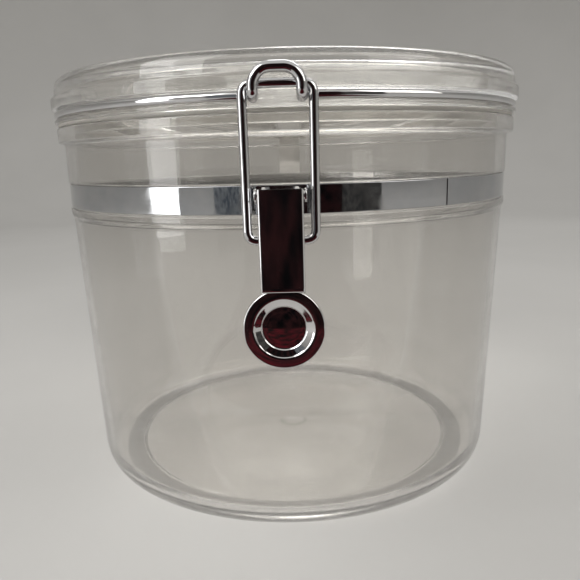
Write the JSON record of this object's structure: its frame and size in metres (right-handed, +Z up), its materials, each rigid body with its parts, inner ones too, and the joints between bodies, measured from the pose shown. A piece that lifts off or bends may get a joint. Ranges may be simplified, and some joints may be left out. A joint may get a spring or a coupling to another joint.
{
  "type": "clamp lid food canister",
  "caption": "Round clear food canister with a hinged clear lid, a wire round the lid and an over-centre clamp latch at the front.",
  "frame": {"origin": "centre of the foot ring, on the surface that the canister stands on", "axes": "+Z up along the jar's axis, +Y from the latch at the front to the lid's hinge at the rear, +X to the right seen from the front"},
  "size_m": [0.1916, 0.2059, 0.1591],
  "materials": {
    "clear_plastic": "polished",
    "polished_steel": "polished",
    "chromed_wire": "polished",
    "clear_silicone": "satin"
  },
  "bodies": {
    "jar": {"jar_body": "clear_plastic", "neck_band": "polished_steel", "latch_bracket": "polished_steel", "lever_pin": "polished_steel", "hinge_bracket": "polished_steel"},
    "lid": {"lid_shell": "clear_plastic", "lid_gasket": "clear_silicone", "lid_wire_ring": "chromed_wire"},
    "lever": {"latch_lever": "polished_steel"},
    "link": {"latch_link": "chromed_wire"}
  },
  "joints": [
    {"name": "lid_hinge", "type": "hinge", "parent": "jar", "child": "lid", "pos_m": [0, 0.0995, 0.1396], "axis": [-1, 0, 0], "range_deg": [0, 100]},
    {"name": "lever_pivot", "type": "hinge", "parent": "jar", "child": "lever", "pos_m": [0, -0.0982, 0.117], "axis": [-1, 0, 0], "range_deg": [0, 100]},
    {"name": "link_pivot", "type": "hinge", "parent": "lever", "child": "link", "pos_m": [0, -0.0966, 0.1036], "axis": [1, 0, 0], "range_deg": [0, 150]}
  ],
  "couplings": [
    {"joint": "lever_pivot", "follows": "lid_hinge", "ratio": 1},
    {"joint": "link_pivot", "follows": "lid_hinge", "ratio": 1.5}
  ]
}
